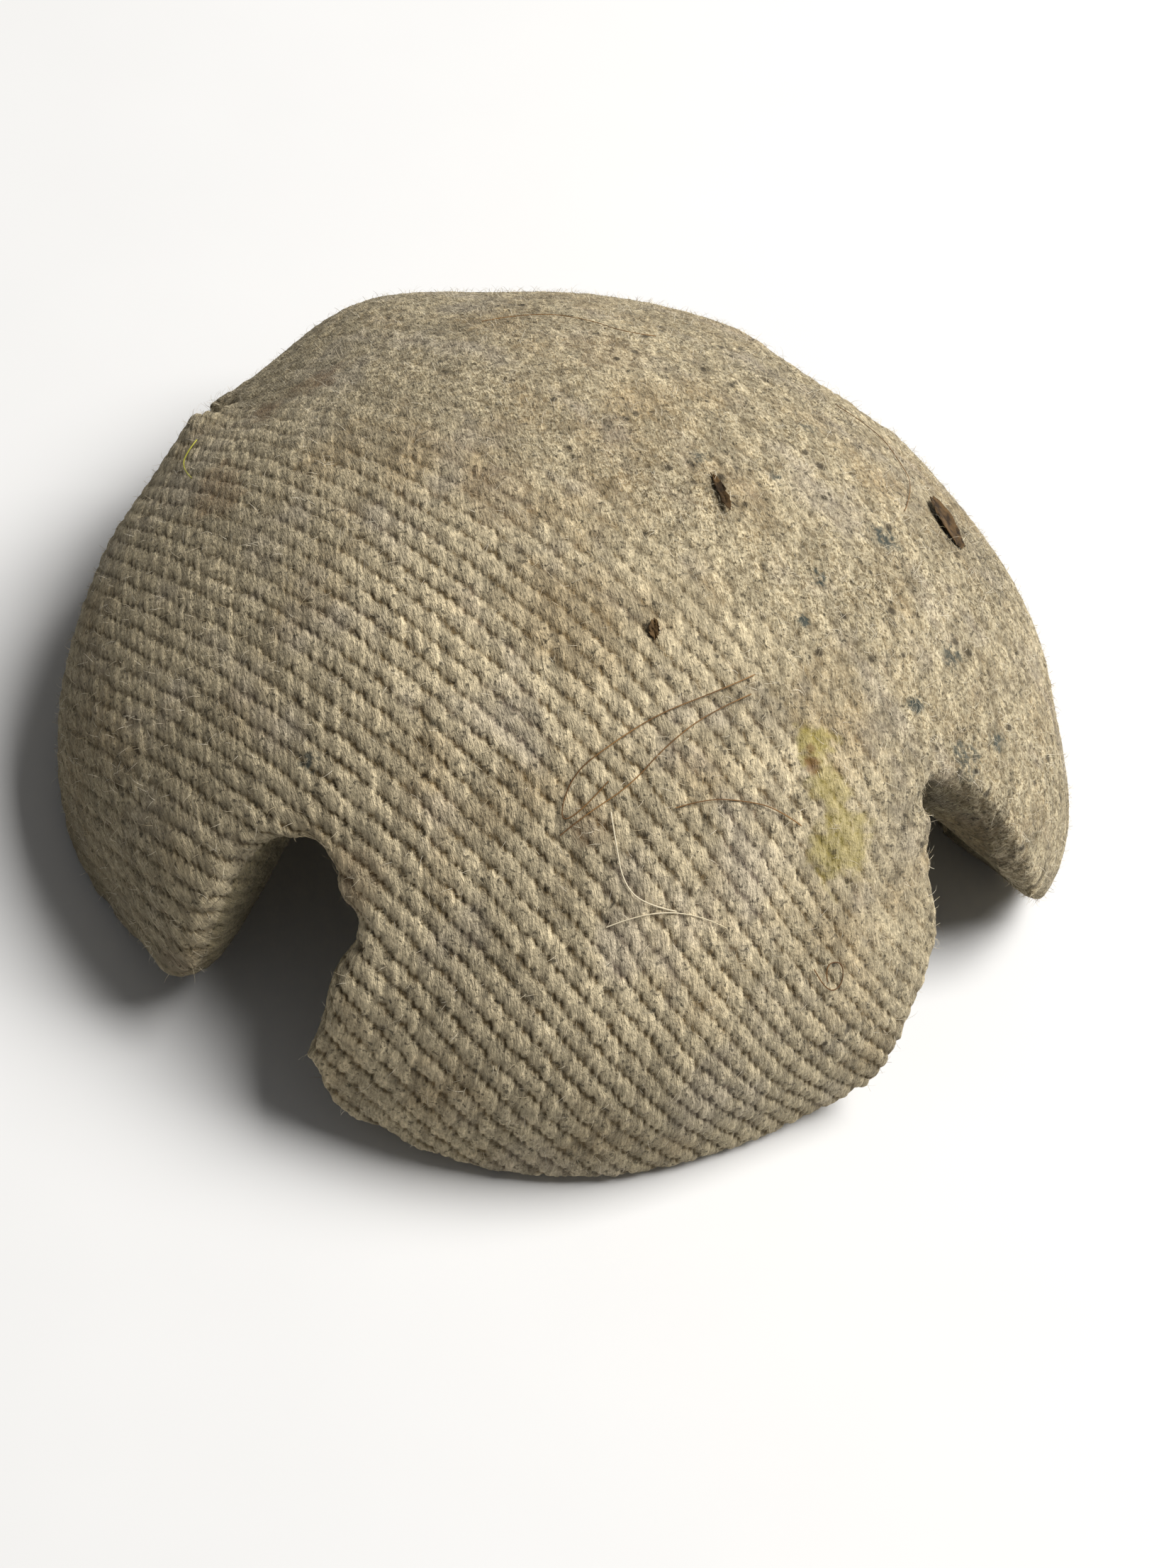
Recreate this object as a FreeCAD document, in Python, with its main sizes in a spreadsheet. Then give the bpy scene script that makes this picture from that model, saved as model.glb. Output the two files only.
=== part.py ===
"""Training bumper: a padded, cloth-covered dome with four lobes that stand on the floor.

Frame: millimetres, +Z up, Z is the axis of the dome, and z = 0 is the plane that the four
lobes stand on. The arched notches between the lobes face -Y (front), +X (right), +Y (back)
and -X (left), so the lobes lie on the diagonals.

Every layer of the wall lies between two surfaces of revolution, and each surface is named by
its depth below the outside of the cover. All of them share the centres of their arcs, so one
layer's inner face is the next layer's outer face.
"""
import FreeCAD
import Part
import math
import os

import Sketcher

SHEET_NAME = "Sizes"
SIZES = [
    ("body_diameter", 120.0, "widest ring of the dome"),
    ("total_height", 49.0, "floor to the top of the crown"),
    ("skirt_height", 7.5, "height of the widest ring above the floor"),
    ("shoulder_radius", 26.0, "outside radius where crown turns into skirt"),
    ("rim_tuck", 1.2, "how far the skirt draws in below the widest ring"),
    ("cover_thickness", 1.8, "twill crown panel"),
    ("wadding_thickness", 3.0, "soft batting under the cover"),
    ("foam_thickness", 7.8, "moulded foam shell"),
    ("lining_thickness", 1.4, "inner cloth of the hollow"),
    ("binding_thickness", 1.6, "cloth of the notch facings and lobe hems"),
    ("notch_width", 16.0, "clear width between two lobes"),
    ("arch_drop", 2.4, "ceiling of the hollow down to the cloth over the arch"),
    ("lobe_corner_radius", 17.0, "rounded lower corners of each lobe"),
    ("least_leg", 1.0, "shortest straight side left between corner and arch"),
    ("stitch_length", 4.0, "one whip stitch, across the joint"),
    ("stitch_bite", 1.0, "share of the stitch that lies on the binding"),
    ("stitch_width", 0.8, "thread width"),
    ("stitch_rise", 0.5, "thread standing proud of the lining"),
    ("stitch_pitch", 6.0, "spacing along the joint"),
]
CUT_MARGIN = 5.0  # how far a cutting profile runs past the solid it cuts

# Depths below the outside of the cover, as expressions on the sheet.
COVER_OUTSIDE = "0 mm"
COVER_INSIDE = "{s}.cover_thickness"
WADDING_INSIDE = COVER_INSIDE + " + {s}.wadding_thickness"
FOAM_INSIDE = WADDING_INSIDE + " + {s}.foam_thickness"
LINING_INSIDE = FOAM_INSIDE + " + {s}.lining_thickness"
STITCH_INSIDE = LINING_INSIDE + " + {s}.stitch_rise"
FLOOR = "0 mm"
BINDING_TOP = "{s}.binding_thickness"
FLUSH = "0 mm"
BEHIND_BINDING = "{s}.binding_thickness"

# The arch follows the ceiling of the hollow, so that neighbouring facings stay apart under it,
# and the corners are no larger than the height of the notch leaves room for.
ARCH_TOP = "({s}.total_height * 1 mm - %s - {s}.arch_drop * 1 mm)"
CORNER = "min({s}.lobe_corner_radius * 1 mm; %s - {s}.notch_width / 2 * 1 mm - {s}.least_leg * 1 mm)"

NOTCH_TURNS = {"front": 0.0, "right": 90.0, "back": 180.0, "left": 270.0}
LOBE_TURNS = {"front_right": 0.0, "back_right": 90.0, "back_left": 180.0, "front_left": 270.0}
QUARTER_TURN = 90.0
HALF_TURN = 180.0
FULL_TURN = 360.0

doc = FreeCAD.newDocument("training_bumper")
sheet = doc.addObject("Spreadsheet::Sheet", SHEET_NAME)
for row, (alias, value, meaning) in enumerate(SIZES, start=1):
    sheet.set("A%d" % row, alias)
    sheet.set("B%d" % row, str(value))
    sheet.set("C%d" % row, meaning)
    sheet.setAlias("B%d" % row, alias)
doc.recompute()


def size(alias):
    """The sheet's number for an alias."""
    return float(sheet.get(alias))


def depth_value(expression):
    """The number that a depth expression stands for."""
    total = 0.0
    for term in expression.split(" + "):
        total += size(term.split(".")[1]) if "{s}" in term else 0.0
    return total


def bound(expression):
    """A depth expression as FreeCAD reads it: aliases of the sheet, in millimetres."""
    terms = []
    for term in expression.split(" + "):
        terms.append(term.format(s=SHEET_NAME) + (" * 1 mm" if "{s}" in term else ""))
    return "(" + " + ".join(terms) + ")"


def on_sheet(alias):
    """One alias of the sheet as a length."""
    return "%s.%s * 1 mm" % (SHEET_NAME, alias)


def arch_top():
    """The height of the notch's top, and the same as an expression."""
    wall = LINING_INSIDE + " + " + BEHIND_BINDING
    height = size("total_height") - depth_value(wall) - size("arch_drop")
    return height, ARCH_TOP.format(s=SHEET_NAME) % bound(wall)


def corner_radius():
    """The radius of the lobes' lower corners, and the same as an expression."""
    height, expression = arch_top()
    room = height - size("notch_width") / 2 - size("least_leg")
    return min(size("lobe_corner_radius"), room), CORNER.format(s=SHEET_NAME) % expression


def slot_reach():
    """Half the width that a notch and its corners take at the floor, and its expression."""
    corner, expression = corner_radius()
    return (size("notch_width") / 2 + corner,
            "%s / 2 + %s" % (on_sheet("notch_width"), expression))


def origin_plane(body, role):
    """A plane of the body's own origin."""
    return next(f for f in body.Origin.OriginFeatures if f.Role == role)


def new_body(label):
    """An empty body with its own label."""
    body = doc.addObject("PartDesign::Body", label)
    body.Label = label
    return body


def new_sketch(body, name, role="XZ_Plane"):
    """A sketch on one of the body's origin planes."""
    sketch = body.newObject("Sketcher::SketchObject", body.Name + "_" + name)
    sketch.AttachmentSupport = [(origin_plane(body, role), "")]
    sketch.MapMode = "FlatFace"
    return sketch


def constrain(sketch, kind, *where, value=None, expression=None):
    """Add one constraint, and bind its size to the sheet where it has one."""
    if value is None:
        return sketch.addConstraint(Sketcher.Constraint(kind, *where))
    index = sketch.addConstraint(Sketcher.Constraint(kind, *where, value))
    sketch.setExpression("Constraints[%d]" % index, expression)
    return index


def line(sketch, start, end):
    """A straight edge of a sketch."""
    return sketch.addGeometry(Part.LineSegment(FreeCAD.Vector(*start, 0),
                                               FreeCAD.Vector(*end, 0)), False)


def arc(sketch, centre, radius, first, last):
    """A circular edge of a sketch, anticlockwise between two angles in degrees."""
    circle = Part.Circle(FreeCAD.Vector(*centre, 0), FreeCAD.Vector(0, 0, 1), radius)
    curve = Part.ArcOfCircle(circle, math.radians(first), math.radians(last))
    return sketch.addGeometry(curve, False)


START, END, CENTRE = 1, 2, 3
ORIGIN = (-1, 1)
VERTICAL_AXIS = -2


def dome_surface(sketch, depth, bottom):
    """Half of one surface of the wall: crown arc, shoulder arc and skirt line, fully sized."""
    sunk = depth_value(depth)
    low = depth_value(bottom)
    ring = size("body_diameter") / 2
    skirt = size("skirt_height")
    tuck = size("rim_tuck") * (skirt - low) / skirt
    shoulder = size("shoulder_radius")
    rise = size("total_height") - skirt
    reach = ring - shoulder
    crown = (reach ** 2 + rise ** 2 - shoulder ** 2) / (2 * (rise - shoulder))
    crown_centre = (0.0, size("total_height") - crown)
    shoulder_centre = (reach, skirt)
    turn = math.degrees(math.atan2(shoulder_centre[1] - crown_centre[1], reach))

    crown_arc = arc(sketch, crown_centre, crown - sunk, turn, 90)
    shoulder_arc = arc(sketch, shoulder_centre, shoulder - sunk, 0, turn)
    skirt_line = line(sketch, (ring - sunk, skirt), (ring - sunk - tuck, low))
    constrain(sketch, "Tangent", crown_arc, START, shoulder_arc, END)
    constrain(sketch, "Coincident", shoulder_arc, START, skirt_line, START)
    constrain(sketch, "Horizontal", shoulder_arc, CENTRE, shoulder_arc, START)
    constrain(sketch, "PointOnObject", crown_arc, CENTRE, VERTICAL_AXIS)
    constrain(sketch, "PointOnObject", crown_arc, END, VERTICAL_AXIS)
    constrain(sketch, "Radius", shoulder_arc, value=shoulder - sunk,
              expression="%s - %s" % (on_sheet("shoulder_radius"), bound(depth)))
    constrain(sketch, "DistanceX", *ORIGIN, shoulder_arc, CENTRE, value=reach,
              expression="%s / 2 - %s" % (on_sheet("body_diameter"), on_sheet("shoulder_radius")))
    constrain(sketch, "DistanceY", *ORIGIN, shoulder_arc, CENTRE, value=skirt,
              expression=on_sheet("skirt_height"))
    constrain(sketch, "DistanceY", *ORIGIN, crown_arc, END, value=size("total_height") - sunk,
              expression="%s - %s" % (on_sheet("total_height"), bound(depth)))
    constrain(sketch, "DistanceX", skirt_line, END, skirt_line, START, value=tuck,
              expression="%s * (1 - %s / (%s))" % (on_sheet("rim_tuck"), bound(bottom),
                                                   on_sheet("skirt_height")))
    constrain(sketch, "DistanceY", skirt_line, END, skirt_line, START, value=skirt - low,
              expression="%s - %s" % (on_sheet("skirt_height"), bound(bottom)))
    return crown_arc, skirt_line


def turn_about_axis(body, sketch, degrees):
    """Revolve a sketch of the body about the dome's axis, from +X round towards -Y."""
    turned = body.newObject("PartDesign::Revolution", body.Name + "_turned")
    turned.Profile = sketch
    turned.ReferenceAxis = (sketch, ["V_Axis"])
    turned.Angle = degrees
    turned.Reversed = True
    sketch.Visibility = False
    return turned


def wall_layer(body, outer, inner, bottom, degrees=FULL_TURN):
    """One layer of the wall, between two depths, down to a height above the floor."""
    sketch = new_sketch(body, "section")
    outer_crown, outer_skirt = dome_surface(sketch, outer, bottom)
    inner_crown, inner_skirt = dome_surface(sketch, inner, bottom)
    top = size("total_height")
    foot = sketch.Geometry[outer_skirt].EndPoint, sketch.Geometry[inner_skirt].EndPoint
    axis_line = line(sketch, (0, top - depth_value(outer)), (0, top - depth_value(inner)))
    foot_line = line(sketch, (foot[0].x, foot[0].y), (foot[1].x, foot[1].y))
    constrain(sketch, "Coincident", axis_line, START, outer_crown, END)
    constrain(sketch, "Coincident", axis_line, END, inner_crown, END)
    constrain(sketch, "Coincident", foot_line, START, outer_skirt, END)
    constrain(sketch, "Coincident", foot_line, END, inner_skirt, END)
    return turn_about_axis(body, sketch, degrees)


def arch_outline(sketch, growth):
    """The notch's outline, grown by the cloth that lines it, open to below the floor."""
    grown = depth_value(growth)
    half = size("notch_width") / 2
    corner, corner_expression = corner_radius()
    top, top_expression = arch_top()
    slot, slot_expression = slot_reach()
    crest = top - half
    below = -CUT_MARGIN
    sides = {}
    for side in (1, -1):
        angles = (180, 270) if side > 0 else (270, 360)
        flank = arc(sketch, (side * slot, corner), corner - grown, *angles)
        upper, lower = (START, END) if side > 0 else (END, START)
        leg = line(sketch, (side * (half + grown), corner), (side * (half + grown), crest))
        drop = line(sketch, (side * slot, grown), (side * slot, below))
        constrain(sketch, "Tangent", leg, START, flank, upper)
        constrain(sketch, "Coincident", drop, START, flank, lower)
        constrain(sketch, "Vertical", leg)
        constrain(sketch, "Vertical", drop)
        constrain(sketch, "Vertical", flank, CENTRE, flank, lower)
        constrain(sketch, "Radius", flank, value=corner - grown,
                  expression="%s - %s" % (corner_expression, bound(growth)))
        constrain(sketch, "DistanceY", *ORIGIN, flank, CENTRE, value=corner,
                  expression=corner_expression)
        across = (*ORIGIN, flank, CENTRE) if side > 0 else (flank, CENTRE, *ORIGIN)
        constrain(sketch, "DistanceX", *across, value=slot, expression=slot_expression)
        sides[side] = (leg, drop)
    crown = arc(sketch, (0, crest), half + grown, 0, 180)
    constrain(sketch, "Tangent", crown, START, sides[1][0], END)
    constrain(sketch, "Tangent", crown, END, sides[-1][0], END)
    constrain(sketch, "DistanceY", *ORIGIN, crown, CENTRE, value=crest,
              expression="%s - %s / 2" % (top_expression, on_sheet("notch_width")))
    closing = line(sketch, (slot, below), (-slot, below))
    constrain(sketch, "Coincident", closing, START, sides[1][1], END)
    constrain(sketch, "Coincident", closing, END, sides[-1][1], END)
    constrain(sketch, "Horizontal", closing)
    constrain(sketch, "DistanceY", closing, START, *ORIGIN, value=CUT_MARGIN,
              expression="%f mm" % CUT_MARGIN)


def frame_outline(sketch):
    """A rectangle well outside the dome, so that a pocket keeps only what is inside the arch."""
    reach = size("body_diameter") / 2 + CUT_MARGIN
    top = size("total_height") + CUT_MARGIN
    below = -2 * CUT_MARGIN
    corners = [(-reach, below), (reach, below), (reach, top), (-reach, top)]
    edges = [line(sketch, corners[n], corners[(n + 1) % 4]) for n in range(4)]
    for n in range(4):
        constrain(sketch, "Coincident", edges[n], END, edges[(n + 1) % 4], START)
        constrain(sketch, "Vertical" if n % 2 else "Horizontal", edges[n])
    margin = "%f mm" % CUT_MARGIN
    constrain(sketch, "DistanceX", *ORIGIN, edges[1], START, value=reach,
              expression="%s / 2 + %s" % (on_sheet("body_diameter"), margin))
    constrain(sketch, "DistanceX", edges[3], START, *ORIGIN, value=reach,
              expression="%s / 2 + %s" % (on_sheet("body_diameter"), margin))
    constrain(sketch, "DistanceY", *ORIGIN, edges[2], START, value=top,
              expression="%s + %s" % (on_sheet("total_height"), margin))
    constrain(sketch, "DistanceY", edges[0], START, *ORIGIN, value=2 * CUT_MARGIN,
              expression="2 * %s" % margin)


def cut_through(body, sketch):
    """Cut a sketch right through the body, to both sides of its plane."""
    pocket = body.newObject("PartDesign::Pocket", sketch.Name + "_cut")
    pocket.Profile = sketch
    pocket.Type = "ThroughAll"
    pocket.SideType = "Symmetric"
    sketch.Visibility = False
    return pocket


def cut_four_notches(body, growth):
    """Cut the front and back notch in one, then repeat it a quarter turn round."""
    sketch = new_sketch(body, "notch")
    arch_outline(sketch, growth)
    pocket = cut_through(body, sketch)
    pattern = body.newObject("PartDesign::PolarPattern", body.Name + "_four")
    pattern.Originals = [pocket]
    pattern.Axis = (origin_plane(body, "Z_Axis"), [""])
    pattern.Mode = "Spacing"
    pattern.Offset = QUARTER_TURN
    pattern.Occurrences = 2
    body.Tip = pattern


def about_z(degrees):
    """A placement turned about the dome's axis."""
    return FreeCAD.Placement(FreeCAD.Vector(0, 0, 0), FreeCAD.Rotation(FreeCAD.Vector(0, 0, 1),
                                                                       degrees))


def make_shell(label, outer, inner, bottom, growth):
    """A layer that covers the whole dome, cut by the four notches."""
    body = new_body(label)
    wall_layer(body, outer, inner, bottom)
    cut_four_notches(body, growth)
    return body


def make_facing(label, turn):
    """The strip of cloth that lines one notch, from the cover to the face of the lining."""
    body = new_body(label)
    wall_layer(body, COVER_INSIDE, LINING_INSIDE, FLOOR, HALF_TURN)
    opening = new_sketch(body, "opening")
    arch_outline(opening, FLUSH)
    cut_through(body, opening)
    surround = new_sketch(body, "surround")
    arch_outline(surround, BEHIND_BINDING)
    frame_outline(surround)
    body.Tip = cut_through(body, surround)
    body.Placement = about_z(turn)
    return body


def slot_outline(sketch):
    """The full width that a notch and its two rounded corners take at the floor."""
    slot, reach = slot_reach()
    top = size("binding_thickness") + CUT_MARGIN
    corners = [(-slot, -CUT_MARGIN), (slot, -CUT_MARGIN), (slot, top), (-slot, top)]
    edges = [line(sketch, corners[n], corners[(n + 1) % 4]) for n in range(4)]
    for n in range(4):
        constrain(sketch, "Coincident", edges[n], END, edges[(n + 1) % 4], START)
        constrain(sketch, "Vertical" if n % 2 else "Horizontal", edges[n])
    constrain(sketch, "DistanceX", *ORIGIN, edges[1], START, value=slot, expression=reach)
    constrain(sketch, "DistanceX", edges[3], START, *ORIGIN, value=slot, expression=reach)
    constrain(sketch, "DistanceY", *ORIGIN, edges[2], START, value=top,
              expression="%s + %f mm" % (on_sheet("binding_thickness"), CUT_MARGIN))
    constrain(sketch, "DistanceY", edges[0], START, *ORIGIN, value=CUT_MARGIN,
              expression="%f mm" % CUT_MARGIN)


def hem_section(body):
    """The hem's section: between the cover and the face of the lining, one cloth high."""
    sketch = new_sketch(body, "section")
    ring = size("body_diameter") / 2
    skirt = size("skirt_height")
    high = size("binding_thickness")
    corners = []
    for depth, height in ((COVER_INSIDE, 0), (COVER_INSIDE, high), (LINING_INSIDE, high),
                          (LINING_INSIDE, 0)):
        tuck = size("rim_tuck") * (skirt - height) / skirt
        corners.append((ring - depth_value(depth) - tuck, height))
    edges = [line(sketch, corners[n], corners[(n + 1) % 4]) for n in range(4)]
    for n in range(4):
        constrain(sketch, "Coincident", edges[n], END, edges[(n + 1) % 4], START)
    for n, depth, bottom in ((0, COVER_INSIDE, FLOOR), (1, COVER_INSIDE, BINDING_TOP),
                             (2, LINING_INSIDE, BINDING_TOP), (3, LINING_INSIDE, FLOOR)):
        tuck = "%s * (1 - %s / (%s))" % (on_sheet("rim_tuck"), bound(bottom),
                                         on_sheet("skirt_height"))
        constrain(sketch, "DistanceX", *ORIGIN, edges[n], START, value=corners[n][0],
                  expression="%s / 2 - %s - %s" % (on_sheet("body_diameter"), bound(depth), tuck))
        if bottom == FLOOR:
            constrain(sketch, "PointOnObject", edges[n], START, -1)
        else:
            constrain(sketch, "DistanceY", *ORIGIN, edges[n], START, value=high,
                      expression=bound(bottom))
    return sketch


def make_hem(label, turn):
    """The strip that closes the foot of one lobe, between the ends of two facings."""
    body = new_body(label)
    turn_about_axis(body, hem_section(body), QUARTER_TURN)
    for name, role in (("slot_one", "XZ_Plane"), ("slot_two", "YZ_Plane")):
        sketch = new_sketch(body, name, role)
        slot_outline(sketch)
        body.Tip = cut_through(body, sketch)
    body.Placement = about_z(turn)
    return body


def stitch_block(point, angle):
    """A block that cuts one stitch out of the layer of thread.

    It lies across the joint at a point of the front plane, its long way turned by the angle
    from straight up, and runs from the dome's axis to well outside it.
    """
    depth = size("body_diameter") / 2
    block = Part.makeBox(size("stitch_width"), depth, size("stitch_length"))
    block.translate(FreeCAD.Vector(-size("stitch_width") / 2, -depth, -size("stitch_bite")))
    block.rotate(FreeCAD.Vector(0, 0, 0), FreeCAD.Vector(0, 1, 0), angle)
    block.translate(point)
    return block


def joint_path():
    """The line in the front plane where the facing meets the lining, as a wire."""
    grown = size("binding_thickness")
    half = size("notch_width") / 2
    corner = corner_radius()[0]
    crest = arch_top()[0] - half
    slot = half + corner
    bend = (corner - grown) * math.sqrt(0.5)
    wide = half + grown

    def spot(x, z):
        return FreeCAD.Vector(x, 0, z)

    def flank(side):
        return Part.Arc(spot(side * slot, grown), spot(side * (slot - bend), corner - bend),
                        spot(side * wide, corner)).toShape()

    legs = {side: Part.LineSegment(spot(side * wide, corner),
                                   spot(side * wide, crest)).toShape() for side in (1, -1)}
    top = Part.Arc(spot(wide, crest), spot(0, crest + wide), spot(-wide, crest)).toShape()
    return Part.Wire(Part.__sortEdges__([flank(1), legs[1], top, legs[-1], flank(-1)]))


def make_facing_stitches(label, thread_layer, turn):
    """The whip stitches up both sides of one notch, as separate solids.

    They stop where the arch's round top begins: the facing is folded over the lining there.
    """
    path = joint_path()
    springing = arch_top()[0] - size("notch_width") / 2
    count = int(path.Length / size("stitch_pitch"))
    marks = path.discretize(Number=2 * count + 1)
    if marks[0].x < marks[-1].x:
        marks.reverse()
    solids = []
    for before, here, after in zip(marks[0::2], marks[1::2], marks[2::2]):
        if here.z > springing:
            continue
        along = after - before
        angle = math.degrees(math.atan2(along.z, -along.x))
        solids.extend(thread_layer.common(stitch_block(here, angle)).Solids)
    return make_group(label, solids, turn)


def make_hem_stitches(label, thread_layer, turn):
    """The whip stitches along the foot of one lobe, as separate solids."""
    slot = slot_reach()[0]
    inside = size("body_diameter") / 2 - depth_value(LINING_INSIDE) - size("rim_tuck")
    blank = math.degrees(math.asin(min(1.0, slot / inside)))
    span = QUARTER_TURN - 2 * blank
    arc_length = math.radians(max(span, 0.0)) * inside
    count = max(1, int(arc_length / size("stitch_pitch")))
    solids = []
    for n in range(count):
        angle = blank + span * (n + 0.5) / count
        block = stitch_block(FreeCAD.Vector(0, 0, size("binding_thickness")), 0)
        block.rotate(FreeCAD.Vector(0, 0, 0), FreeCAD.Vector(0, 0, 1), angle)
        solids.extend(thread_layer.common(block).Solids)
    return make_group(label, solids, turn)


def make_group(label, solids, turn):
    """Separate solids kept together as one feature."""
    feature = doc.addObject("Part::Feature", label)
    feature.Label = label
    feature.Shape = Part.makeCompound(solids)
    feature.Placement = about_z(turn)
    return feature


pieces = [
    make_shell("crown_panel", COVER_OUTSIDE, COVER_INSIDE, FLOOR, FLUSH),
    make_shell("wadding", COVER_INSIDE, WADDING_INSIDE, BINDING_TOP, BEHIND_BINDING),
    make_shell("foam_core", WADDING_INSIDE, FOAM_INSIDE, BINDING_TOP, BEHIND_BINDING),
    make_shell("lining", FOAM_INSIDE, LINING_INSIDE, BINDING_TOP, BEHIND_BINDING),
]
for place, turn in NOTCH_TURNS.items():
    pieces.append(make_facing("notch_facing_" + place, turn))
for place, turn in LOBE_TURNS.items():
    pieces.append(make_hem("lobe_hem_" + place, turn))

# The stitches are cut out of a thin layer that lies on the lining; it is not a piece itself.
thread = new_body("thread_layer")
wall_layer(thread, LINING_INSIDE, STITCH_INSIDE, FLOOR)
doc.recompute()
for place, turn in NOTCH_TURNS.items():
    pieces.append(make_facing_stitches("facing_stitches_" + place, thread.Shape, turn))
for place, turn in LOBE_TURNS.items():
    pieces.append(make_hem_stitches("hem_stitches_" + place, thread.Shape, turn))
doc.recompute()

for item in doc.Objects:
    if any(word in state for state in item.State for word in ("Invalid", "Error")):
        raise RuntimeError("failed: %s %s" % (item.Name, item.State))
for piece in pieces:
    if piece.Shape.isNull() or not piece.Shape.isValid() or piece.Shape.Volume <= 0:
        raise RuntimeError("bad shape: " + piece.Label)

os.makedirs("parts", exist_ok=True)
for piece in pieces:
    box = piece.Shape.BoundBox
    print("%-28s solids %2d volume %10.1f  x %7.2f..%6.2f y %7.2f..%6.2f z %5.2f..%5.2f" % (
        piece.Label, len(piece.Shape.Solids), piece.Shape.Volume, box.XMin, box.XMax,
        box.YMin, box.YMax, box.ZMin, box.ZMax))
    piece.Shape.exportStep("parts/%s.step" % piece.Label)
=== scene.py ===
# %% [markdown]
# # A padded training bumper, built around its CAD frame
#
# The real object is a dome of foam with soft batting over it, and a coarse twill cover pulled
# over both. Four arched notches divide its wall into four lobes, and it stands on the lobes.
# The CAD frame gives every size here. Blender gives the soft form, the cloth and its wear.
# Blender works in metres, and cloth is easier to think of in millimetres, so MM turns one
# into the other.

# %% Load the frame
import bpy
import math
import numpy as np
from mathutils import Matrix, Vector


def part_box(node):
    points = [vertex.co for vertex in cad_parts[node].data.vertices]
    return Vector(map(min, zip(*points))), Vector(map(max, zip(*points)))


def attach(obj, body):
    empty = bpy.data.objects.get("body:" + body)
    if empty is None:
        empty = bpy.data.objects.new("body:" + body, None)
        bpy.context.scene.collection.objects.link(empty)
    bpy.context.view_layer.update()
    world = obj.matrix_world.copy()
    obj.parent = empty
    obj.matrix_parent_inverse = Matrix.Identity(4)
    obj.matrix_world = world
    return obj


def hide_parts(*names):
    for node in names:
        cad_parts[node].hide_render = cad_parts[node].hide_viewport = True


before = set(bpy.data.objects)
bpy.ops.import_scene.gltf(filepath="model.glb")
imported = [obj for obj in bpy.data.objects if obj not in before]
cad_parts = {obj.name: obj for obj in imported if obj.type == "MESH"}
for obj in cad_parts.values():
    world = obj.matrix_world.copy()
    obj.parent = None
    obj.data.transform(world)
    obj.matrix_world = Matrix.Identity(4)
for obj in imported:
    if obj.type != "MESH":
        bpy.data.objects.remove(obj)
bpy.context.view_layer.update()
MM = 0.001

# %% [markdown]
# ## The sizes of the dome
#
# The dome's outside is a surface of revolution: a shallow crown arc, a tighter shoulder arc
# and a short upright skirt. The frame's boxes give its height and the height of the notches.
# The ring, the shoulder and the skirt are the three sizes that no box shows. The crown arc
# then follows, because it has to run smoothly into the shoulder.

# %% Read the dome's size
NOTCHES = ["front", "right", "back", "left"]
LOBES = ["front_right", "back_right", "back_left", "front_left"]
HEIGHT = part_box("crown_panel")[1].z / MM
NOTCH_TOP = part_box("notch_facing_front")[1].z / MM
RING, SHOULDER, SKIRT = 60.0, 26.0, 7.5
RISE = HEIGHT - SKIRT
SHOULDER_OUT = RING - SHOULDER
CROWN = (SHOULDER_OUT ** 2 + RISE ** 2 - SHOULDER ** 2) / (2 * (RISE - SHOULDER))
CROWN_LOW = HEIGHT - CROWN
MEET = math.atan2(SHOULDER_OUT, SKIRT - CROWN_LOW)
print("height %.1f, notch top %.1f, crown arc %.1f mm, arcs meet at %.0f degrees"
      % (HEIGHT, NOTCH_TOP, CROWN, math.degrees(MEET)))

# %% [markdown]
# ## The camera
#
# The camera comes first, because every later choice is judged through it. It looks down at
# the dome from about fifty degrees, turned so that one lobe comes towards it with a notch on
# each side, and it is held a little crooked. It stands close, so the near lobe looks larger.

# %% Camera
CAMERA_TURN = math.radians(28.2)
CAMERA_RISE = math.radians(51.5)
CAMERA_ROLL = math.radians(9.7)
CAMERA_DISTANCE = 0.414
LENS = 108.0
AIM = Vector((0, 0, 0.021))
AIM_RIGHT, AIM_DOWN = 0.0019, 0.0159

back = Vector((math.sin(CAMERA_TURN) * math.cos(CAMERA_RISE),
               -math.cos(CAMERA_TURN) * math.cos(CAMERA_RISE), math.sin(CAMERA_RISE)))
place = AIM + back * CAMERA_DISTANCE
turn = back.to_track_quat("Z", "Y").to_matrix() @ Matrix.Rotation(CAMERA_ROLL, 3, "Z")
target = AIM + turn.col[0] * AIM_RIGHT - turn.col[1] * AIM_DOWN
view = (place - target).normalized()
side = turn.col[1].cross(view).normalized()
turn = Matrix((side, view.cross(side), view)).transposed()
camera_data = bpy.data.cameras.new("camera")
camera_data.sensor_fit = "HORIZONTAL"
camera_data.sensor_width = 36
camera_data.lens = LENS
camera = bpy.data.objects.new("camera", camera_data)
camera.matrix_world = Matrix.Translation(place) @ turn.to_4x4()
bpy.context.scene.collection.objects.link(camera)
bpy.context.scene.camera = camera
print("camera at", [round(each, 3) for each in place])

# %% [markdown]
# ## Helpers for working as by hand
#
# An operator acts on all that is selected, and loading the frame leaves its nodes selected.
# So each step first deselects everything, then picks its own piece.

# %% Selecting and applying
def deselect_all():
    for each in list(bpy.context.selected_objects):
        each.select_set(False)


def activate(piece):
    deselect_all()
    piece.select_set(True)
    bpy.context.view_layer.objects.active = piece


def apply_modifier(piece, kind, **values):
    activate(piece)
    modifier = piece.modifiers.new(kind.lower(), kind)
    for name, value in values.items():
        setattr(modifier, name, value)
    bpy.ops.object.modifier_apply(modifier=modifier.name)


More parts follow.
